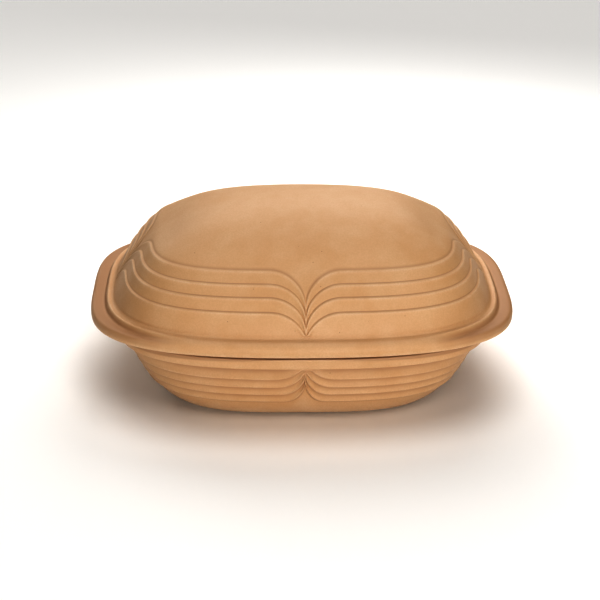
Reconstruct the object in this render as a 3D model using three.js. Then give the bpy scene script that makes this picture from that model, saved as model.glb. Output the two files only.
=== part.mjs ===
// A covered clay casserole dish in two pieces: a deep dish and a domed lid that rests on its rim.
// Units are millimetres, +Z is up, +X runs along the length, and the origin is under the foot.
// Every level of both pieces is a rounded rectangle |x / a|^m + |y / b|^n = 1, written as
// { a, b, m, n, z }: half length, half width, the two exponents of its outline, and height.
// A piece is one skin of such levels, from a centre point on one side of its wall to a centre
// point on the other side.

import * as THREE from 'three';

// The whole
const halfLength = 195;
const halfWidth = 138.5;
const totalHeight = 177.2;
const seamHeight = 81;
const seamGap = 0.3;

// The lid's rim: a ledge that is a lifting tab at each end and dies out along the sides
const tabOutline = { a: halfLength, b: halfWidth, m: 2.48, n: 3.55 };
const tabThickness = 8.5;
const tabEdgeRadius = 4;
const tabUnderRadius = 2.8;
const ridgeReach = 3.2;
const ridgeRise = 1.5;
const grooveReach = 7.4;
const grooveDepth = 0.6;
const sideRoll = [25, 50, 72].map((degrees) => (degrees * Math.PI) / 180);
const ledgeNarrow = 14;
const ledgeWide = 18;

// The lid's dome: a leaning flank that turns over into a broad crown
const domeFoot = { a: 175.3, b: 126.7, m: 2.88, n: 3.32, z: 92.6 };
const crownHeight = 173;
const crownReach = 92;
const crownCorner = 4.4;
const crownBulge = { from: 0.64, full: 0.85 };
const flankAlong = { bend: 4.42, lean: 0.92 };
const flankAcross = { bend: 2.38, lean: 1.32 };

// Four overlapping terraces round the dome. Each line drops to a point at the middle of a side.
const lidLines = [144, 135, 125.8, 115.2];
const lidStep = 2;
const lidLedge = 1.2;
const lidPointDrop = 22;
const lidPointWidth = 31;
const footFillet = 1.8;
const lowestLine = 3.6;
const closestLines = 3.4;

// The lid's wall and its mouth
const lidWall = { along: 8, across: 7, crown: 7 };
const lidMouth = { a: 165, b: 130, m: 2.6, n: 3.8, z: seamHeight };

// The dish: a rim band, a wall drawn in below it, and a foot with a shallow recess
const rimOutline = { a: 170.8, b: 136.8, m: 2.56, n: 3.9 };
const rimTop = seamHeight - seamGap;
const rimBottom = 69;
const rimEdgeRadius = 1.6;
const rimOverhang = 7;
const footOutline = { a: 112, b: 78, m: 3.6, n: 2.7 };
const wallAlong = { bend: 2.53, lean: 0.83 };
const wallAcross = { bend: 2.51, lean: 1.12 };
const footRingWidth = 14;
const footRecess = 1.5;

// Four lines round the dish that arch up to a point at the middle of a side
const dishLines = [53.3, 43.8, 34.8, 25.4];
const dishStep = 1.6;
const dishLedge = 1.2;
const dishPointRise = 20;
const dishPointWidths = [27, 25, 21, 18];
const highestLine = 4.5;

// The inside of the dish, and the low bead that keeps the lid in its place
const dishWall = 7.5;
const floorThickness = 8;
const beadWidth = 4.5;
const beadHeight = 3.5;
const beadEdge = 1;
const beadRoot = 4;
const lidPlay = 3;

// Columns of the skin: fine beside the four points, even round the corners
const pointColumns = [1.5, 5, 11, 19, 32];
const cornerColumns = 12;

// Rows of the skin, as shares of the way from one named level to the next
const crownRows = [0.88, 0.76, 0.63, 0.5, 0.36, 0.22, 0.1];
const lidInsideRows = [0, 0.2, 0.4, 0.58, 0.74, 0.86, 0.94, 0.98, 0.996];
const floorRows = [0.35, 0.7];
const dishInsideRows = [0, 0.012, 0.05, 0.12, 0.24, 0.4, 0.58, 0.78, 0.98];
const dishFootRows = [0.62, 0.34, 0.15, 0.04, 0];
const outlineRounds = 12;

// How far the middle of a quarter-round lies from each face that it joins, as a share of its radius
const arcMiddle = 1 - Math.SQRT1_2;

const clay = 0xd09768;
const dishClay = 0xc98e61;

function mix(from, to, share) {
  return from + (to - from) * share;
}

function smoothStep(low, high, value) {
  const share = Math.min(Math.max((value - low) / (high - low), 0), 1);
  return share * share * (3 - 2 * share);
}

// How far along the ray through (u, v) the outline |u|^m + |v|^n = 1 lies, by Newton's method.
function reach(u, v, m, n) {
  let scale = 1;
  for (let round = 0; round < outlineRounds; round += 1) {
    const alongTerm = (scale * u) ** m;
    const acrossTerm = (scale * v) ** n;
    scale -= (scale * (alongTerm + acrossTerm - 1)) / (m * alongTerm + n * acrossTerm);
  }
  return scale;
}

// The directions of the columns, once round from the middle of the +X end.
function columnDirections() {
  const endAngles = pointColumns.map((offset) => Math.atan(offset / domeFoot.b));
  const sideAngles = pointColumns.map((offset) => Math.PI / 2 - Math.atan(offset / domeFoot.a));
  const cornerStart = endAngles[endAngles.length - 1];
  const cornerEnd = sideAngles[sideAngles.length - 1];
  const cornerAngles = [];
  for (let i = 1; i < cornerColumns; i += 1) {
    cornerAngles.push(mix(cornerStart, cornerEnd, i / cornerColumns));
  }
  const quarter = [...endAngles, ...cornerAngles, ...sideAngles.reverse()];
  const mirrored = quarter.map((angle) => Math.PI / 2 - angle).reverse();
  const directions = [];
  for (let side = 0; side < 4; side += 1) {
    const angles = [0, ...(side % 2 === 0 ? quarter : mirrored)];
    for (const angle of angles) {
      const turned = angle + (side * Math.PI) / 2;
      directions.push({ u: Math.cos(turned), v: Math.sin(turned) });
    }
  }
  return directions;
}

function pointOn(level, direction) {
  const scale = reach(Math.abs(direction.u), Math.abs(direction.v), level.m, level.n);
  return new THREE.Vector3(level.a * scale * direction.u, level.b * scale * direction.v, level.z);
}

// A level moved outwards by the given amount, or inwards by a negative one.
function grown(level, amount, z = level.z) {
  return { ...level, a: level.a + amount, b: level.b + amount, z };
}

// A quarter-round that starts steep at the middle of a side and levels off at the given width.
function pointShape(distance, width) {
  const share = Math.min(distance / width, 1);
  return 1 - Math.sqrt(1 - (1 - share) ** 2);
}

function distanceFromMiddle(point) {
  return Math.min(Math.abs(point.x), Math.abs(point.y));
}

// A level of a dome that stands on its foot and closes at its top.
function domeLevel(foot, top, z) {
  const rise = Math.min(Math.max((z - foot.z) / (top - foot.z), 0), 1);
  return {
    a: foot.a * (1 - rise ** flankAlong.lean) ** (1 / flankAlong.bend),
    b: foot.b * (1 - rise ** flankAcross.lean) ** (1 / flankAcross.bend),
    m: mix(foot.m, crownCorner, rise),
    n: mix(foot.n, crownCorner, rise),
    z,
  };
}

// The crown is a little higher in the middle and lower towards its ends.
function crowned(point, foot, top) {
  const rise = (point.z - foot.z) / (top - foot.z);
  const bulge = (totalHeight - crownHeight) * (1 - (point.x / crownReach) ** 2);
  point.z += bulge * smoothStep(crownBulge.from, crownBulge.full, rise);
  return point;
}

// The heights of the four terrace lines at one column of the lid, from the top down.
function lidLineHeights(direction) {
  return lidLines.map((height, index) => {
    const distance = distanceFromMiddle(pointOn(domeLevel(domeFoot, crownHeight, height), direction));
    const dropped = height - lidPointDrop * pointShape(distance, lidPointWidth);
    const below = lidLines.length - 1 - index;
    return Math.max(dropped, domeFoot.z + lowestLine + closestLines * below);
  });
}

function domePoint(direction, z, outward) {
  const level = grown(domeLevel(domeFoot, crownHeight, z), outward);
  return crowned(pointOn(level, direction), domeFoot, crownHeight);
}

// One column of the lid's crown and terraces, from just off the centre down to the dome's foot.
function domeColumn(direction) {
  const points = [];
  const heights = lidLineHeights(direction);
  const lineRise = (heights[0] - domeFoot.z) / (crownHeight - domeFoot.z);
  for (const share of crownRows) {
    const rise = 1 - (1 - lineRise) * (1 - share) ** 3;
    points.push(domePoint(direction, mix(domeFoot.z, crownHeight, rise), 0));
  }
  heights.forEach((height, index) => {
    const next = heights[index + 1] ?? domeFoot.z + footFillet;
    const edge = height - lidLedge;
    points.push(domePoint(direction, height, 0));
    points.push(domePoint(direction, edge, lidStep));
    points.push(domePoint(direction, mix(edge, next, 0.5), lidStep / 2));
  });
  points.push(domePoint(direction, domeFoot.z + footFillet, 0));
  return points;
}

// One column of the lid's rim: a ridge round the dome's foot, then at the ends a shallow groove and
// the flat tab, and along the sides one round that rolls down to the edge.
function tabColumn(direction) {
  const inner = pointOn(domeFoot, direction);
  const outer = pointOn({ ...tabOutline, z: domeFoot.z }, direction);
  const width = inner.distanceTo(outer);
  const tab = smoothStep(ledgeNarrow, ledgeWide, width);
  const tabTop = seamHeight + tabThickness;
  const edgeTop = tabTop - tabEdgeRadius;
  const ridgeTop = domeFoot.z + ridgeRise;
  const atEnds = [
    [grooveReach, tabTop - grooveDepth],
    [width - tabEdgeRadius, tabTop],
    [width - tabEdgeRadius * arcMiddle, tabTop - tabEdgeRadius * arcMiddle],
  ];
  const atSides = sideRoll.map((angle) => [
    mix(ridgeReach, width, Math.sin(angle)),
    mix(edgeTop, ridgeTop, Math.cos(angle)),
  ]);
  const between = atSides.map(([distance, z], index) => [
    mix(distance, atEnds[index][0], tab),
    mix(z, atEnds[index][1], tab),
  ]);
  const profile = [
    [0, domeFoot.z],
    [ridgeReach, ridgeTop],
    ...between,
    [width, edgeTop],
    [width - tabUnderRadius * arcMiddle, seamHeight + tabUnderRadius * arcMiddle],
    [width - tabUnderRadius, seamHeight],
  ];
  return profile.map(([distance, z]) => inner.clone().lerp(outer, distance / width).setZ(z));
}

// One column of the lid's inside, from its mouth up to just off the centre.
function lidInsideColumn(direction) {
  const foot = {
    ...domeFoot,
    a: domeFoot.a - lidWall.along,
    b: domeFoot.b - lidWall.across,
  };
  const top = crownHeight - lidWall.crown;
  const mouth = pointOn(lidMouth, direction);
  const shoulder = pointOn(foot, direction);
  const points = [mouth, mouth.clone().lerp(shoulder, 0.5)];
  for (const rise of lidInsideRows) {
    const level = domeLevel(foot, top, mix(foot.z, top, rise));
    points.push(crowned(pointOn(level, direction), foot, top));
  }
  return points;
}

// A level of the dish's wall, which draws in from below the rim band and turns under to the foot.
function wallLevel(z) {
  const drop = Math.min(Math.max((rimBottom - z) / rimBottom, 0), 1);
  const alongShare = (1 - drop ** wallAlong.lean) ** (1 / wallAlong.bend);
  const acrossShare = (1 - drop ** wallAcross.lean) ** (1 / wallAcross.bend);
  return {
    a: mix(footOutline.a, rimOutline.a - rimOverhang, alongShare),
    b: mix(footOutline.b, rimOutline.b - rimOverhang, acrossShare),
    m: mix(rimOutline.m, footOutline.m, drop),
    n: mix(rimOutline.n, footOutline.n, drop),
    z,
  };
}

// The inside follows the outside one wall further in, squeezed to end on the floor.
function dishInsideLevel(z) {
  const outside = wallLevel(((z - floorThickness) * rimBottom) / (rimBottom - floorThickness));
  return grown(outside, -dishWall, z);
}

// The heights of the four lines at one column of the dish, from the top down.
function dishLineHeights(direction) {
  return dishLines.map((height, index) => {
    const distance = distanceFromMiddle(pointOn(wallLevel(height), direction));
    const raised = height + dishPointRise * pointShape(distance, dishPointWidths[index]);
    return Math.min(raised, rimBottom - highestLine - closestLines * index);
  });
}

// One column of the dish's outer wall, from under the rim band down to the foot.
function dishWallColumn(direction) {
  const points = [pointOn(wallLevel(rimBottom), direction)];
  let above = rimBottom;
  for (const height of dishLineHeights(direction)) {
    const edge = height + dishLedge;
    points.push(pointOn(grown(wallLevel(mix(above, edge, 0.5)), dishStep / 2), direction));
    points.push(pointOn(grown(wallLevel(edge), dishStep), direction));
    points.push(pointOn(wallLevel(height), direction));
    above = height;
  }
  for (const share of dishFootRows) {
    points.push(pointOn(wallLevel(above * share), direction));
  }
  return points;
}

// One column of the dish's rim: the mouth, the bead round it, the seat and the band's edges.
function rimColumn(direction) {
  const beadFoot = grown(lidMouth, -lidPlay, rimTop);
  const beadTop = rimTop + beadHeight;
  const levels = [
    grown(beadFoot, -beadWidth, rimTop - beadRoot),
    grown(beadFoot, -beadWidth, beadTop - beadEdge),
    grown(beadFoot, beadEdge - beadWidth, beadTop),
    grown(beadFoot, -beadEdge, beadTop),
    grown(beadFoot, 0, beadTop - beadEdge),
    beadFoot,
    grown(rimOutline, -rimEdgeRadius, rimTop),
    grown(rimOutline, 0, rimTop - rimEdgeRadius),
    grown(rimOutline, 0, rimBottom + rimEdgeRadius),
    grown(rimOutline, -rimEdgeRadius, rimBottom),
  ];
  return levels.map((level) => pointOn(level, direction));
}

// One column of the dish's inside, from just off the middle of the floor up to the rim.
function dishInsideColumn(direction) {
  const floor = dishInsideLevel(floorThickness);
  const inner = floorRows.map((share) => ({ ...floor, a: floor.a * share, b: floor.b * share }));
  const climb = dishInsideRows.map((share) => dishInsideLevel(mix(floorThickness, rimBottom, share)));
  return [...inner, ...climb].map((level) => pointOn(level, direction));
}

// One column under the foot: the flat ring that it stands on and the shallow recess inside it.
function footColumn(direction) {
  const ringInside = grown(footOutline, -footRingWidth, 0);
  const recess = grown(footOutline, -footRingWidth - footRecess, footRecess);
  return [ringInside, recess].map((level) => pointOn(level, direction));
}

// A closed skin over the columns. It starts and ends at a centre point, each on its own side.
function closedSkin(directions, columnOf, startHeight, endHeight) {
  const columns = directions.map(columnOf);
  const rows = columns[0].length;
  const vertices = [0, 0, startHeight];
  for (const column of columns) {
    for (const point of column) {
      vertices.push(point.x, point.y, point.z);
    }
  }
  vertices.push(0, 0, endHeight);
  const endIndex = vertices.length / 3 - 1;
  const indexOf = (column, row) => 1 + (column % columns.length) * rows + row;
  const triangles = [];
  for (let column = 0; column < columns.length; column += 1) {
    triangles.push(0, indexOf(column, 0), indexOf(column + 1, 0));
    for (let row = 0; row < rows - 1; row += 1) {
      const here = indexOf(column, row);
      const below = indexOf(column, row + 1);
      const belowBeside = indexOf(column + 1, row + 1);
      const beside = indexOf(column + 1, row);
      triangles.push(here, below, belowBeside, here, belowBeside, beside);
    }
    triangles.push(indexOf(column, rows - 1), endIndex, indexOf(column + 1, rows - 1));
  }
  const geometry = new THREE.BufferGeometry();
  geometry.setAttribute('position', new THREE.Float32BufferAttribute(vertices, 3));
  geometry.setIndex(triangles);
  geometry.computeVertexNormals();
  return geometry;
}

function makeLid(directions) {
  const columnOf = (direction) => [
    ...domeColumn(direction),
    ...tabColumn(direction),
    ...lidInsideColumn(direction),
  ];
  const geometry = closedSkin(directions, columnOf, totalHeight, totalHeight - lidWall.crown);
  const material = new THREE.MeshStandardMaterial({ color: clay, roughness: 0.9, metalness: 0 });
  const lid = new THREE.Mesh(geometry, material);
  lid.name = 'lid';
  return lid;
}

function makeDish(directions) {
  const columnOf = (direction) => [
    ...dishInsideColumn(direction),
    ...rimColumn(direction),
    ...dishWallColumn(direction),
    ...footColumn(direction),
  ];
  const geometry = closedSkin(directions, columnOf, floorThickness, footRecess);
  const material = new THREE.MeshStandardMaterial({ color: dishClay, roughness: 0.85, metalness: 0 });
  const dish = new THREE.Mesh(geometry, material);
  dish.name = 'base_dish';
  return dish;
}

const columns = columnDirections();
const casserole = new THREE.Group();
casserole.add(makeLid(columns), makeDish(columns));

export default casserole;
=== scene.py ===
import math

import bmesh
import bpy
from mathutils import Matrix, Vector


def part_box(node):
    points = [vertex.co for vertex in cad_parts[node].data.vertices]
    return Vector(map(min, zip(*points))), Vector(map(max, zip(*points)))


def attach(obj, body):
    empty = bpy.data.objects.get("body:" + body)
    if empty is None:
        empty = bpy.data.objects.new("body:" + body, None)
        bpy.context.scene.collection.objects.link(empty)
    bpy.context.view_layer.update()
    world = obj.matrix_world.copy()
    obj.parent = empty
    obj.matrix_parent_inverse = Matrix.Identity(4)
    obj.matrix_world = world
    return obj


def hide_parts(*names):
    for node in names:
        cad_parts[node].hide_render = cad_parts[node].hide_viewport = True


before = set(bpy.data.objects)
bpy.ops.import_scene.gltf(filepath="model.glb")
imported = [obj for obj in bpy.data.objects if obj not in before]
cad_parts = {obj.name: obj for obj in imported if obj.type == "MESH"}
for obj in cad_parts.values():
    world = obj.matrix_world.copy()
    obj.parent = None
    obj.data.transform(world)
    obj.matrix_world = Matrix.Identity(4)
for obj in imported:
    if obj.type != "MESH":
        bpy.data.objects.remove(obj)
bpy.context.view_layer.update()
print("frame loaded:", ", ".join(sorted(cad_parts)))

# Shapes are worked out in millimetres and set into the meshes in metres.
mm = 0.001
lidLow, lidHigh = [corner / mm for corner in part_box("lid")]
dishLow, dishHigh = [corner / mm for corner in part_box("base_dish")]
seamHeight = lidLow.z  # the lid's flat underside
totalHeight = lidHigh.z

# Columns run once round both pieces and stand closer together beside the four points of the terraces.
columns = {"besidePoints": [0.7, 1.6, 2.8, 4.4, 6.4, 9, 12.2, 16, 20.5, 25.5, 31, 37], "cornerSteps": 16}

lid = {
    "tab": {"a": lidHigh.x, "b": lidHigh.y, "m": 2.54, "n": 3.7},
    "tabThickness": 8.5, "tabEdgeRadius": 4, "underRadius": 1, "ledgeNarrow": 14, "ledgeWide": 18,
    "foot": {"a": 175.3, "b": 126.7, "m": 2.88, "n": 3.32, "z": 92.6},
    "crownHeight": 173, "crownReach": 92, "crownCorner": 4.2, "bulgeFrom": 0.64, "bulgeFull": 0.85,
    "bendAlong": 4.42, "leanAlong": 0.92, "bendAcross": 2.38, "leanAcross": 1.32,
    "lines": [144, 135, 125.8, 115.2], "firstLineClear": 0.78,  # the first line is softer than the others
    "pointDrop": 23.5, "pointWidth": 31.5, "lowestLine": 4, "closestLines": 3.4, "footFillet": 3.4,
    "wallAlong": 8, "wallAcross": 7, "wallCrown": 7,
    "mouth": {"a": 165, "b": 130, "m": 2.6, "n": 3.8}, "mouthRadius": 1.2, "underBorder": 0.8,
}

dish = {
    "rim": {"a": dishHigh.x, "b": dishHigh.y, "m": 2.72, "n": 4},
    "rimTop": 80.7, "rimBottom": 69, "rimEdgeRadius": 1.1, "rimOverhang": 7, "rebate": 1.7,
    # The lid's painted shadow on the rim band, below its edge: over this depth, more where the lid hangs
    # over.
    "shadeDepth": 1.3, "shadePerOverhang": 0.3, "shadeSoft": 0.4, "shadeMost": 0.85,
    # How much painted shade the wall has under the rim and at each band's top, and painted light at its
    # foot.
    "underRimShade": 1.5, "bandShade": 0.8, "footPaintedLight": 1.4,
    "coveHeight": 0.8, "coveReach": 1.2, "lineCut": 0.1,
    "foot": {"a": 112, "b": 78, "m": 3.6, "n": 2.7}, "footRingWidth": 14, "footRecess": 1.5,
    "bendAlong": 2.53, "leanAlong": 0.83, "bendAcross": 2.51, "leanAcross": 1.12,
    "lines": [53.3, 43.8, 34.8, 25.4],
    "pointRise": 23.5, "pointWidths": [27, 25, 21, 18], "highestLine": 4.5, "closestLines": 3.2,
    "wall": 7.5, "floor": 8, "beadWidth": 4.5, "beadHeight": 3.5, "lidPlay": 3,
    "glazedStrips": 22,  # from the middle of the floor up to the bead
}


# A third of the way round, a quarter-round is this many radii from the face that it leaves, and from the
# one that it comes to.
arcLeaves, arcComes = 0.134, 0.5

# A terrace's step is stretched along its slope, up to a share of its band, and is less full in a low band.
terrace = {"mostOfBand": 0.35, "startFull": 0.5, "mmPerFull": 18, "fade": 1.5}


def mix(first, second, share):
    return first + (second - first) * share


def smoothStep(low, high, value):
    share = min(max((value - low) / (high - low), 0), 1)
    return share * share * (3 - 2 * share)


def columnDirections():
    endAngles = [math.atan(offset / lid["foot"]["a"]) for offset in columns["besidePoints"]]
    sideAngles = [math.pi / 2 - math.atan(offset / lid["foot"]["b"]) for offset in columns["besidePoints"]]
    steps = columns["cornerSteps"]
    corner = [mix(endAngles[-1], sideAngles[-1], step / steps) for step in range(1, steps)]
    quarter = endAngles + corner + sideAngles[::-1]
    mirrored = [math.pi / 2 - angle for angle in quarter[::-1]]
    angles = []
    for turn in range(4):
        angles += [turn * math.pi / 2 + angle for angle in [0] + (mirrored if turn % 2 else quarter)]
    return [(math.cos(angle), math.sin(angle)) for angle in angles]


# Where a column meets the rounded rectangle |x / a|^m + |y / b|^n = 1, found by Newton's method.
def pointOn(level, direction, z):
    u, v = abs(direction[0]), abs(direction[1])
    scale = 1.0
    for _ in range(12):
        along, across = (scale * u) ** level["m"], (scale * v) ** level["n"]
        scale -= scale * (along + across - 1) / (level["m"] * along + level["n"] * across)
    return Vector((level["a"] * scale * direction[0], level["b"] * scale * direction[1], z))


def grown(level, amount):
    return {**level, "a": level["a"] + amount, "b": level["b"] + amount}


# A quarter-round, steep at the middle of a side and level at the given width: its height and slope.
def pointShape(point, width):
    rest = 1 - min(abs(point.x), abs(point.y), width) / width
    height = math.sqrt(1 - rest * rest)
    return 1 - height, rest / (width * max(height, 0.05))


def domeLevel(foot, top, z):
    rise = min(max((z - foot["z"]) / (top - foot["z"]), 0), 1)
    return {
        "a": foot["a"] * (1 - rise ** lid["leanAlong"]) ** (1 / lid["bendAlong"]),
        "b": foot["b"] * (1 - rise ** lid["leanAcross"]) ** (1 / lid["bendAcross"]),
        "m": mix(foot["m"], lid["crownCorner"], rise),
        "n": mix(foot["n"], lid["crownCorner"], rise),
    }


# The crown is a little higher in its middle and lower towards its ends.
def crowned(point, foot, top):
    rise = (point.z - foot["z"]) / (top - foot["z"])
    bulge = (totalHeight - lid["crownHeight"]) * (1 - (point.x / lid["crownReach"]) ** 2)
    return point + Vector((0, 0, bulge * smoothStep(lid["bulgeFrom"], lid["bulgeFull"], rise)))


def domePoint(direction, z, outward=0.0):
    foot, top = lid["foot"], lid["crownHeight"]
    return crowned(pointOn(grown(domeLevel(foot, top, z), outward), direction, z), foot, top)


# Height and slope of each terrace line where a column crosses it, from the top down.
def lidLines(direction):
    found = []
    for index, height in enumerate(lid["lines"]):
        shape, slope = pointShape(domePoint(direction, height), lid["pointWidth"])
        linesBelow = len(lid["lines"]) - 1 - index
        lowest = lid["foot"]["z"] + lid["lowestLine"] + lid["closestLines"] * linesBelow
        found.append((max(height - lid["pointDrop"] * shape, lowest), lid["pointDrop"] * slope))
    return found


# How far a step is stretched, and how full it is, from its band's height, its slope and its crest's place.
def stepSize(drop, slope, crest):
    stretch = min(math.hypot(1, slope), terrace["mostOfBand"] * drop / crest)
    return stretch, min(terrace["startFull"] + drop / terrace["mmPerFull"], 1)


# The crown's rows are shares of the way out to the foot. The last ones sink with the first line's points.
crown = {
    "rows": [0.012, 0.05, 0.1, 0.16, 0.23, 0.31, 0.39, 0.46, 0.52, 0.57, 0.61, 0.645, 0.675, 0.697],
    "sinksFrom": 0.48, "sinkBend": 1.5, "edge": 0.7125,
}

# A terrace of the lid from its line down: millimetres below the line and outward, wear and painted
# highlight on the crest, painted shade in the crease.
lidStep = [
    (0, -0.08, 0, 1), (0.2, 0.3, 0, 0.6), (0.5, 0.95, 0.1, 0.15), (0.8, 1.4, 0.6, 0),
    (1.1, 1.58, 1, 0), (1.6, 1.52, 0.5, 0), (2.5, 1.3, 0.1, 0),
]
lidCrest = lidStep[4][0]  # where the step stands out most
lidBand = [0.2, 0.42, 0.64, 0.82, 0.94]  # shares of the way from the step to the next line


def domeRows(direction):
    foot, top = lid["foot"], lid["crownHeight"]
    lines = lidLines(direction)
    sunk = lid["lines"][0] - lines[0][0]
    rows = []
    for share in crown["rows"]:
        rise = (1 - share ** lid["bendAcross"]) ** (1 / lid["leanAcross"])
        sinking = (share - crown["sinksFrom"]) / (crown["edge"] - crown["sinksFrom"])
        follow = max(sinking, 0) ** crown["sinkBend"]
        rows.append((domePoint(direction, mix(foot["z"], top, rise) - sunk * follow), 0, 0))
    ends = [height for height, slope in lines[1:]] + [foot["z"] + lid["footFillet"]]
    for index, ((height, slope), end) in enumerate(zip(lines, ends)):
        drop = height - end
        clear = lid["firstLineClear"] if index == 0 else 1
        stretch, full = stepSize(drop, slope, lidCrest)
        full *= clear
        for below, outward, wearAndPaintedLight, paintedShade in lidStep:
            point = domePoint(direction, height - below * stretch, outward * full)
            rows.append((point, wearAndPaintedLight * clear, paintedShade * clear))
        stepEnd, stepOut = lidStep[-1][0] * stretch, lidStep[-1][1] * full
        for share in lidBand:
            z = height - mix(stepEnd, drop, share)
            rows.append((domePoint(direction, z, stepOut * (1 - share) ** terrace["fade"]), 0, 0))
    return rows


# The rim from the dome's foot outward, as millimetres outward and above the foot, wear and painted
# highlight, painted shade. It is a soft cove and a ridge, and then at the ends a groove and a flat tab, or
# along the sides a roll down to the edge. The tabs are where the lid is held. The cove, the groove and the
# tabs' tops are darkened with painted shade, and the ridge's crest is paled, partly wear and partly painted
# highlight.
rimCove = {
    "ends": [
        (-2, 3.1, 0, 0), (-1.1, 1.9, 0, 0.1), (0, 1.05, 0, 0.3), (1.2, 0.75, 0, 0.3), (2.4, 1, 0, 0.1),
        (3.7, 1.5, 0.45, 0),
    ],
    "sides": [
        (-1, 2.7, 0, 0), (-0.5, 1.9, 0, 0), (0.3, 1.35, 0, 0.1), (1.3, 1.1, 0, 0.1), (2.3, 1.05, 0, 0),
        (3.3, 1, 0, 0),
    ],
}
rimTab = [
    (4.7, 1.25, 0.4, 0), (5.6, 0.3, 0, 0.3), (6.3, -1.3, 0, 0.6), (7, -2.8, 0, 1), (7.8, -3.6, 0, 1),
    (8.8, -3.75, 0, 1), (10.4, -3.4, 0, 1.15),
]


def rimRows(direction):
    inner = pointOn(lid["foot"], direction, 0)
    outer = pointOn(lid["tab"], direction, 0)
    width = (outer - inner).length
    tab = smoothStep(lid["ledgeNarrow"], lid["ledgeWide"], width)
    radius, under = lid["tabEdgeRadius"], lid["underRadius"]
    tabTop = seamHeight + lid["tabThickness"]
    edgeTop = tabTop - radius

    def raised(profile):
        return [(distance, lid["foot"]["z"] + rise, *shades) for distance, rise, *shades in profile]

    cove = []
    for atEnd, atSide in zip(rimCove["ends"], rimCove["sides"]):
        cove.append([mix(sideValue, endValue, tab) for sideValue, endValue in zip(atSide, atEnd)])
    rows = raised(cove)
    crestReach, crestHeight = rows[-1][:2]
    atEnds = raised(rimTab) + [
        (width - radius, tabTop, 0, 1.15),
        (width - radius * arcComes, tabTop - radius * arcLeaves, 0.2, 1),
        (width - radius * arcLeaves, tabTop - radius * arcComes, 0.5, 0.8),
        (width, edgeTop, 0.2, 0.7),
    ]
    for index, (distance, z, wearAndPaintedLight, paintedShade) in enumerate(atEnds):
        turn = math.pi / 2 * (index + 1) / len(atEnds)
        sideDistance = mix(crestReach, width, math.sin(turn))
        sideHeight = mix(edgeTop, crestHeight, math.cos(turn))
        place = (mix(sideDistance, distance, tab), mix(sideHeight, z, tab))
        rows.append((*place, wearAndPaintedLight * tab, paintedShade * tab))
    # The lid's lower edge is paled, partly wear and partly painted highlight.
    for turn, wearAndPaintedLight in ((0, 0.5), (30, 1), (60, 1), (90, 0)):
        turn = math.radians(turn)
        inward, rise = under * (1 - math.cos(turn)), under * (1 - math.sin(turn))
        rows.append((width - inward, seamHeight + rise, wearAndPaintedLight, 0))
    # The underside's border gets some painted shade.
    rows.append((width - under - lid["underBorder"], seamHeight, 0, 0.5))
    placed = []
    for distance, z, wearAndPaintedLight, paintedShade in rows:
        placed.append((inner.lerp(outer, distance / width) + Vector((0, 0, z)), wearAndPaintedLight, paintedShade))
    return placed


# The rows inside the dome, as shares of its height, and inside the dish, as shares of its depth.
lidInside = [
    0, 0.08, 0.17, 0.27, 0.37, 0.47, 0.57, 0.67, 0.76, 0.84, 0.9, 0.945, 0.975, 0.99, 0.997, 0.9995,
]
dishInside = [0, 0.004, 0.015, 0.04, 0.08, 0.14, 0.22, 0.32, 0.44, 0.57, 0.7, 0.83, 0.95]


def lidInsideRows(direction):
    foot = dict(lid["foot"])
    foot["a"] -= lid["wallAlong"]
    foot["b"] -= lid["wallAcross"]
    top, radius = lid["crownHeight"] - lid["wallCrown"], lid["mouthRadius"]
    points = []
    for turn in map(math.radians, (0, 30, 60, 90)):
        mouth = grown(lid["mouth"], radius * (1 - math.sin(turn)))
        points.append(pointOn(mouth, direction, seamHeight + radius * (1 - math.cos(turn))))
    shoulder = pointOn(foot, direction, foot["z"])
    points += [points[-1].lerp(shoulder, share) for share in (0.35, 0.7)]
    for rise in lidInside:
        z = mix(foot["z"], top, rise)
        points.append(crowned(pointOn(domeLevel(foot, top, z), direction, z), foot, top))
    return [(point, 0, 0) for point in points]


def wallLevel(z):
    drop = min(max((dish["rimBottom"] - z) / dish["rimBottom"], 0), 1)
    alongShare = (1 - drop ** dish["leanAlong"]) ** (1 / dish["bendAlong"])
    acrossShare = (1 - drop ** dish["leanAcross"]) ** (1 / dish["bendAcross"])
    return {
        "a": mix(dish["foot"]["a"], dish["rim"]["a"] - dish["rimOverhang"], alongShare),
        "b": mix(dish["foot"]["b"], dish["rim"]["b"] - dish["rimOverhang"], acrossShare),
        "m": mix(dish["rim"]["m"], dish["foot"]["m"], drop),
        "n": mix(dish["rim"]["n"], dish["foot"]["n"], drop),
    }


def wallPoint(direction, z, outward=0.0):
    return pointOn(grown(wallLevel(z), outward), direction, z)


def dishInsideRows(direction):
    bottom, floor = dish["rimBottom"], dish["floor"]
    points = []
    for share in (0.06, 0.22, 0.4, 0.58, 0.75, 0.89):
        edge = wallPoint(direction, 0, -dish["wall"])
        points.append(Vector((edge.x * share, edge.y * share, floor)))
    for share in dishInside:
        outside = wallPoint(direction, bottom * share, -dish["wall"])
        points.append(Vector((outside.x, outside.y, mix(floor, bottom, share))))
    return [(point, 0, 0) for point in points]
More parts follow.
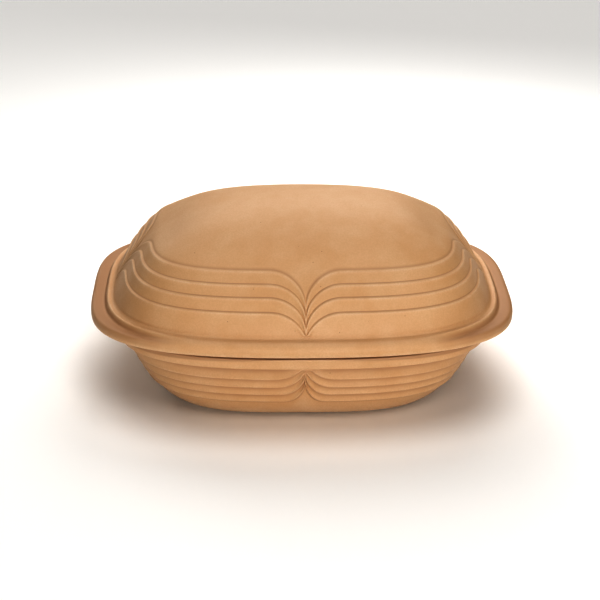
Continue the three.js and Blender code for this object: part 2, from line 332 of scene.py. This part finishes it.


# The rim from the mouth outward: the bead that keeps the lid in its place, the seat and the rim band.
# The seat's outer edge is cut back a little, which leaves the dark seam under the lid; painted shade
# darkens the cut, the bead's foot and the band below the lid's edge.
def dishRimRows(direction):
    seat, bottom = dish["rimTop"], dish["rimBottom"]
    radius, width = dish["rimEdgeRadius"], dish["beadWidth"]
    beadTop = seat + dish["beadHeight"]
    bead = [
        (-width, seat - 4, 0, 0), (-width, seat, 0, 0), (-width, beadTop - 1.6, 0, 0),
        (0.5 - width, beadTop - 0.6, 0.4, 0), (1.4 - width, beadTop - 0.1, 1, 0),
        (-width / 2, beadTop, 1, 0), (-1.4, beadTop - 0.1, 1, 0), (-0.5, beadTop - 0.6, 0.4, 0),
        (-0.1, beadTop - 1.6, 0, 0), (0, seat + 0.8, 0, 0.4), (0.3, seat + 0.15, 0, 1), (1.2, seat, 0, 0.2),
    ]
    edge = seat - dish["rebate"]
    overhang = (pointOn(lid["tab"], direction, 0) - pointOn(dish["rim"], direction, 0)).length
    shadeDepth = dish["shadeDepth"] + dish["shadePerOverhang"] * overhang
    shadeEnd = max(seat - shadeDepth, mix(seat, bottom, dish["shadeMost"]))
    soft = dish["shadeSoft"]

    # Painted shadow of the lid on the rim band, from its edge down to where the shade ends.
    def shaded(z):
        return smoothStep(shadeEnd - soft, shadeEnd + soft, z)

    band = [
        (-5, seat, 0, 0), (-4.2, seat, 0, 0.6), (-3.8, mix(seat, edge, 0.35), 0, 1),
        (-3.4, mix(seat, edge, 0.9), 0, 1), (-radius - 0.5, edge, 0, 1),
        (-radius * 0.6, edge - 0.1, 0, 0.6),
        (-radius * 0.15, edge - radius * 0.4, 0.6, shaded(edge - radius * 0.4)),
        (0, edge - radius, 0.5, shaded(edge - radius)),
        (0, min(shadeEnd + soft, edge - radius - 0.2), 0, shaded(edge - radius - 0.2)),
        (0, min(shadeEnd - soft, edge - radius - 0.8), 0, 0), (0, bottom + radius, 0.2, 0),
        (-radius * arcLeaves, bottom + radius * arcComes, 0.3, 0),
        (-radius * arcComes, bottom + radius * arcLeaves, 0.1, 0.2), (-radius, bottom, 0, 0.7),
    ]
    beadFoot = grown(lid["mouth"], -dish["lidPlay"])
    rows = []
    for level, profile in ((beadFoot, bead), (dish["rim"], band)):
        for outward, z, wearAndPaintedLight, paintedShade in profile:
            rows.append((pointOn(grown(level, outward), direction, z), wearAndPaintedLight, paintedShade))
    return rows


# The lower edge of a band of the dish: millimetres above its line and outward, wear and painted highlight,
# painted shade.
dishStep = [
    (2.4, 1.9, 0.3, 0), (1.7, 2.1, 0.5, 0), (1.1, 1.85, 0.3, 0), (0.6, 1.1, 0, 0.4), (0.2, 0.3, 0, 0.8),
]
dishCrest = dishStep[1][0]
# Shares of the way from the line above to that edge, and how much painted shade the band has there.
dishBand = [(0.08, 0.9), (0.24, 0.65), (0.42, 0.35), (0.6, 0.1), (0.78, 0), (0.92, 0)]


def dishWallRows(direction):
    above = dish["rimBottom"] - dish["coveHeight"]
    # The wall's top gets painted shade under the rim.
    rows = [(wallPoint(direction, dish["rimBottom"], dish["coveReach"]), 0, 1.2)]
    for index, height in enumerate(dish["lines"]):
        shape, slope = pointShape(wallPoint(direction, height), dish["pointWidths"][index])
        highest = dish["rimBottom"] - dish["highestLine"] - dish["closestLines"] * index
        line = min(height + dish["pointRise"] * shape, highest)
        drop = above - line
        stretch, full = stepSize(drop, dish["pointRise"] * slope, dishCrest)
        edgeStart = line + dishStep[0][0] * stretch
        depth = dish["underRimShade"] if index == 0 else dish["bandShade"]
        rows.append((wallPoint(direction, above, -dish["lineCut"]), 0, depth))
        for share, paintedShade in dishBand:
            z = mix(above, edgeStart, share)
            rows.append((wallPoint(direction, z, dishStep[0][1] * full * share ** 2), 0, paintedShade * depth))
        for rise, outward, wearAndPaintedLight, paintedShade in dishStep:
            rows.append((wallPoint(direction, line + rise * stretch, outward * full), wearAndPaintedLight, paintedShade))
        above = line
    rows.append((wallPoint(direction, above, -dish["lineCut"]), 0, 1))
    # The wall is paled towards its foot with painted light.
    for share in (0.93, 0.82, 0.68, 0.53, 0.39, 0.27, 0.17, 0.1, 0.05, 0.02, 0.006):
        wearAndPaintedLight = dish["footPaintedLight"] * (1 - share) ** terrace["fade"]
        rows.append((wallPoint(direction, above * share), wearAndPaintedLight, 0))
    ringWidth, recess = dish["footRingWidth"], dish["footRecess"]
    ring = [
        (0, 0), (-1, 0), (1 - ringWidth, 0), (-ringWidth, 0.1),
        (-ringWidth - 0.8, recess - 0.1), (-ringWidth - 1.5, recess),
    ]
    for outward, z in ring:
        rows.append((pointOn(grown(dish["foot"], outward), direction, z), 0, 0))
    return rows


# Selects the edges of one ring and nothing else.
def selectRing(ring):
    bpy.ops.mesh.select_all(action="DESELECT")
    members = set(ring)
    for corner in ring:
        for edge in corner.link_edges:
            if edge.other_vert(corner) in members:
                edge.select_set(True)


# Extrudes the selected ring and sets each new corner on its place.
def extrudeRing(ring, places, layers):
    bpy.ops.mesh.extrude_edges_indiv()
    newRing = []
    for corner, (point, wearAndPaintedLight, paintedShade) in zip(ring, places):
        reached = [edge.other_vert(corner) for edge in corner.link_edges]
        moved = next(other for other in reached if other.select)
        moved.co = point * mm
        moved[layers[0]], moved[layers[1]] = wearAndPaintedLight, paintedShade
        newRing.append(moved)
    return newRing


# Closes the hole inside the selected ring with a fan that meets in one point.
def closeRing(mesh, height):
    bpy.ops.mesh.extrude_edges_indiv()
    bpy.ops.mesh.merge(type="CENTER")
    for corner in bmesh.from_edit_mesh(mesh).verts:
        if corner.select:
            corner.co = Vector((0, 0, height * mm))


# A piece is one closed skin, extruded ring by ring from one centre point out over its edge to the other.
# Its first strips, counted from the start, can have the second finish.
def makeSkin(name, rows, startHeight, endHeight, finishes, secondStrips=0):
    bpy.ops.object.select_all(action="DESELECT")
    bpy.ops.mesh.primitive_circle_add(vertices=len(rows[0]), radius=0.1, fill_type="NOTHING")
    piece = bpy.context.object
    piece.name = piece.data.name = name
    # Two masks on the corners: one pales the clay for wear and painted highlight, one deepens it with
    # painted shade.
    piece.data.attributes.new("wearAndPaintedLight", "FLOAT", "POINT")
    piece.data.attributes.new("paintedShade", "FLOAT", "POINT")
    bpy.ops.object.mode_set(mode="EDIT")
    bpy.ops.mesh.select_mode(type="EDGE")
    shape = bmesh.from_edit_mesh(piece.data)
    layers = [shape.verts.layers.float[key] for key in ("wearAndPaintedLight", "paintedShade")]
    ring = sorted(shape.verts, key=lambda corner: round(math.atan2(corner.co.y, corner.co.x), 5) % math.tau)
    for corner, (point, _, _) in zip(ring, rows[0]):
        corner.co = point * mm
    selectRing(ring)
    closeRing(piece.data, startHeight)
    selectRing(ring)
    for places in rows[1:]:
        ring = extrudeRing(ring, places, layers)
    closeRing(piece.data, endHeight)
    bpy.ops.mesh.select_all(action="SELECT")
    bpy.ops.mesh.normals_make_consistent(inside=False)
    bpy.ops.object.mode_set(mode="OBJECT")
    for finish in finishes:
        piece.data.materials.append(finish)
    for face in piece.data.polygons[:secondStrips * len(rows[0])]:
        face.material_index = 1
    bpy.ops.object.modifier_add(type="SUBSURF")
    piece.modifiers[0].levels = piece.modifiers[0].render_levels = 1
    piece.modifiers[0].use_limit_surface = False  # the limit is slow to find at the fans' centres
    bpy.ops.object.modifier_apply(modifier=piece.modifiers[0].name)
    bpy.ops.object.shade_smooth()
    print(name, "modelled:", len(piece.data.polygons), "faces")
    return piece


# Colours are sRGB hex values, turned to linear here.
def fromHex(code):
    channels = [int(code[start:start + 2], 16) / 255 for start in (0, 2, 4)]
    return (*[c / 12.92 if c <= 0.04045 else ((c + 0.055) / 1.055) ** 2.4 for c in channels], 1)


# Adds a node with its settings and gives each input a value or the socket that feeds it.
def addNode(tree, kind, inputs, **settings):
    node = tree.nodes.new("ShaderNode" + kind)
    for name, value in settings.items():
        setattr(node, name, value)
    for socket, value in inputs.items():
        if isinstance(value, bpy.types.NodeSocket):
            tree.links.new(value, node.inputs[socket])
        else:
            node.inputs[socket].default_value = value
    return node.outputs


# Unglazed earthenware, slip cast in plaster and fired once: matte and faintly mottled, with a fine grain
# and a few pin holes. Edges and crests are paler, partly from wear and partly with painted highlight, and
# so is the dish's lower wall, with painted light; corners, creases, the tabs and the band under the lid are
# deeper with painted shade. The grain and the holes are drawn coarser than real ones, so that they show
# from a step away.
castTerracotta = {
    # Two of these colours are painted: a pale one for wear and painted highlight, a deep one for painted
    # shade.
    "clay": "cfab84", "warmClay": "c8a074", "paleClay": "d3b48f", "wearAndPaintedLight": "dcc2a4", "paintedShade": "a67c57",
    "grainDark": "bd9870", "pore": "9e7350",
    "mottleMm": 60, "cloudMm": 17, "grainMm": 1.3, "poreMm": 14, "poreSizeMm": 0.5,
    "grainDepthMm": 0.05, "poreDepthMm": 0.2, "deepest": 0.65, "roughness": 0.54, "ior": 1.56,
}

# A clear glaze over the same clay: it deepens the colour and gives a smooth wet gloss.
clearGlaze = {
    # Two of these colours are painted: a pale one for wear and painted highlight, a deep one for painted
    # shade.
    "clay": "cb976c", "warmClay": "c48e62", "paleClay": "d2a278", "wearAndPaintedLight": "d6a981", "paintedShade": "b07f58",
    "grainDark": "bb8860", "pore": "94694a",
    "mottleMm": 60, "cloudMm": 17, "grainMm": 1.3, "poreMm": 9, "poreSizeMm": 0.4,
    "grainDepthMm": 0.008, "poreDepthMm": 0.1, "deepest": 0.65, "roughness": 0.2, "ior": 1.5, "coat": 0.6,
}


def makeClay(name, finish):
    material = bpy.data.materials.new(name)
    material.use_nodes = True
    tree = material.node_tree
    shader = tree.nodes["Principled BSDF"]
    place = addNode(tree, "TexCoord", {})["Object"]
    noises = []
    for size, detail in (("mottleMm", 4), ("cloudMm", 5), ("grainMm", 3)):
        inputs = {"Vector": place, "Scale": 1 / (finish[size] * mm), "Detail": detail}
        noises.append(addNode(tree, "TexNoise", inputs)["Fac"])
    mottle, cloud, grain = noises
    cell = addNode(tree, "TexVoronoi", {"Vector": place, "Scale": 1 / (finish["poreMm"] * mm)})["Distance"]
    poreEdge = finish["poreSizeMm"] / finish["poreMm"]
    wearAndPaintedLight = addNode(tree, "Attribute", {}, attribute_name="wearAndPaintedLight")["Fac"]
    paintedShade = addNode(tree, "Attribute", {}, attribute_name="paintedShade")["Fac"]
    # Each pattern's noise, the low and high value that it is read between, and what it gives at them.
    ranges = {
        "pore": (cell, 0.4 * poreEdge, poreEdge, 1, 0),
        "poreHeight": (cell, 0.4 * poreEdge, poreEdge, 0, 1),
        "patchy": (cloud, 0.35, 0.65, 0.3, 0.7),
        "warmClay": (mottle, 0.4, 0.62, 0.6, 0),
        "paleClay": (cloud, 0.42, 0.7, 0, 0.4),
        "grainDark": (grain, 0.38, 0.62, 0.25, 0),
        "roughness": (grain, 0.35, 0.65, finish["roughness"] + 0.04, finish["roughness"] - 0.04),
    }
    pattern = {}
    for key, values in ranges.items():
        limits = dict(zip(("Value", "From Min", "From Max", "To Min", "To Max"), values))
        pattern[key] = addNode(tree, "MapRange", limits)["Result"]
    # Wear and painted highlight pale the clay, and painted shade deepens it.
    wearAndLight = addNode(tree, "Math", {0: wearAndPaintedLight, 1: pattern["patchy"]}, operation="MULTIPLY")["Value"]
    deep = addNode(tree, "Math", {0: paintedShade, 1: finish["deepest"]}, operation="MULTIPLY")["Value"]
    layers = {
        "warmClay": pattern["warmClay"], "paleClay": pattern["paleClay"], "wearAndPaintedLight": wearAndLight, "paintedShade": deep,
        "grainDark": pattern["grainDark"], "pore": pattern["pore"],
    }
    colour = fromHex(finish["clay"])
    for tint, share in layers.items():
        inputs = {"Factor": share, "A": colour, "B": fromHex(finish[tint])}
        colour = addNode(tree, "Mix", inputs, data_type="RGBA")["Result"]
    fineRelief = addNode(tree, "Bump", {"Height": grain, "Distance": finish["grainDepthMm"] * mm})["Normal"]
    holes = {"Height": pattern["poreHeight"], "Distance": finish["poreDepthMm"] * mm, "Normal": fineRelief}
    relief = addNode(tree, "Bump", holes)["Normal"]
    tree.links.new(colour, shader.inputs["Base Color"])
    tree.links.new(pattern["roughness"], shader.inputs["Roughness"])
    tree.links.new(relief, shader.inputs["Normal"])
    shader.inputs["IOR"].default_value = finish["ior"]
    print(name, "made")
    return material


print("finishes")
terracotta = makeClay("slipCastTerracotta", castTerracotta)
glaze = makeClay("clearGlazeOnTerracotta", clearGlaze)
glaze.node_tree.nodes["Principled BSDF"].inputs["Coat Weight"].default_value = clearGlaze["coat"]

print("modelling")
directions = columnDirections()
lidRows = zip(*[domeRows(way) + rimRows(way) + lidInsideRows(way) for way in directions])
lidPiece = makeSkin(
    "casseroleLid", list(lidRows), totalHeight, totalHeight - lid["wallCrown"], [terracotta])
dishRows = zip(*[dishInsideRows(way) + dishRimRows(way) + dishWallRows(way) for way in directions])
dishPiece = makeSkin(
    "casseroleDish", list(dishRows), dish["floor"], dish["footRecess"], [terracotta, glaze],
    dish["glazedStrips"])

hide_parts("lid")
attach(lidPiece, "lid")
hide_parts("base_dish")
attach(dishPiece, "dish")

# A wide pale floor, and a camera a step away that looks down at the dish's long side. Every light is given
# by its turn from the front and its height in degrees. The far lights, which keep the floor evenly pale,
# also have a spread in degrees and a strength, and the near ones a distance, a width and a power in watts.
# The contrast deepens all colours, and the finishes above are paler than the clay looks, to allow for it.
studio = {
    "floor": "faf8f5", "floorSize": 14, "world": "ffffff", "worldStrength": 0.1, "contrast": 1.7,
    "azimuth": -2.2, "elevation": 24.5, "distance": 1.5, "middle": 0.09, "lensMm": 95.4,
    "aimLower": 0.016, "aimLeft": 0.00085, "roll": 0.65,
    "farLights": {
        "overheadLight": (0, 89, 42, 1.36),
        "sideLight": (26, 50, 26, 0.67),
        "leftBackLight": (-153, 32, 33, 0.76),
    },
    "nearLights": {
        "lowKeyLight": (7, 7, 1.6, 0.7, 13.6),
        "crownLight": (167, 42, 0.85, 0.8, 4.4),
    },
}


# The way from the dish towards something that stands round it.
def outward(azimuth, elevation):
    turn, rise = math.radians(azimuth), math.radians(elevation)
    return Vector((math.sin(turn) * math.cos(rise), -math.cos(turn) * math.cos(rise), math.sin(rise)))


def makeFloor():
    bpy.ops.object.select_all(action="DESELECT")
    bpy.ops.mesh.primitive_plane_add(size=studio["floorSize"])
    floor = bpy.context.object
    floor.name = "studioFloor"
    material = bpy.data.materials.new("matteWhitePaint")
    material.use_nodes = True
    shader = material.node_tree.nodes["Principled BSDF"]
    shader.inputs["Base Color"].default_value = fromHex(studio["floor"])
    shader.inputs["Roughness"].default_value = 0.9
    floor.data.materials.append(material)


def makeLight(name, kind, azimuth, elevation, distance=3.0):
    back = outward(azimuth, elevation)
    bpy.ops.object.light_add(type=kind, location=Vector((0, 0, studio["middle"])) + back * distance)
    light = bpy.context.object
    light.name = name
    light.rotation_euler = (-back).to_track_quat("-Z", "Y").to_euler()
    return light.data


def makeCamera():
    back = outward(studio["azimuth"], studio["elevation"])
    right = Vector((-back.y, back.x, 0)).normalized()
    middle = Vector((0, 0, studio["middle"]))
    bpy.ops.object.camera_add(location=middle + back * studio["distance"])
    camera = bpy.context.object
    camera.data.lens = studio["lensMm"]
    camera.data.sensor_width = 36
    aim = middle - back.cross(right) * studio["aimLower"] - right * studio["aimLeft"]
    camera.rotation_euler = (aim - camera.location).to_track_quat("-Z", "Y").to_euler()
    camera.rotation_euler.rotate_axis("Z", math.radians(studio["roll"]))
    bpy.context.scene.camera = camera


makeFloor()
for name, (azimuth, elevation, spread, strength) in studio["farLights"].items():
    light = makeLight(name, "SUN", azimuth, elevation)
    light.angle = math.radians(spread)
    light.energy = strength
for name, (azimuth, elevation, distance, width, watts) in studio["nearLights"].items():
    light = makeLight(name, "AREA", azimuth, elevation, distance)
    light.shape = "DISK"
    light.size = width
    light.energy = watts
makeCamera()
world = bpy.data.worlds.new("paleStudio")
world.use_nodes = True
background = world.node_tree.nodes["Background"]
background.inputs["Color"].default_value = fromHex(studio["world"])
background.inputs["Strength"].default_value = studio["worldStrength"]
bpy.context.scene.world = world
bpy.context.scene.view_settings.view_transform = "Standard"
bpy.context.scene.view_settings.gamma = 1 / studio["contrast"]
print("studio ready")
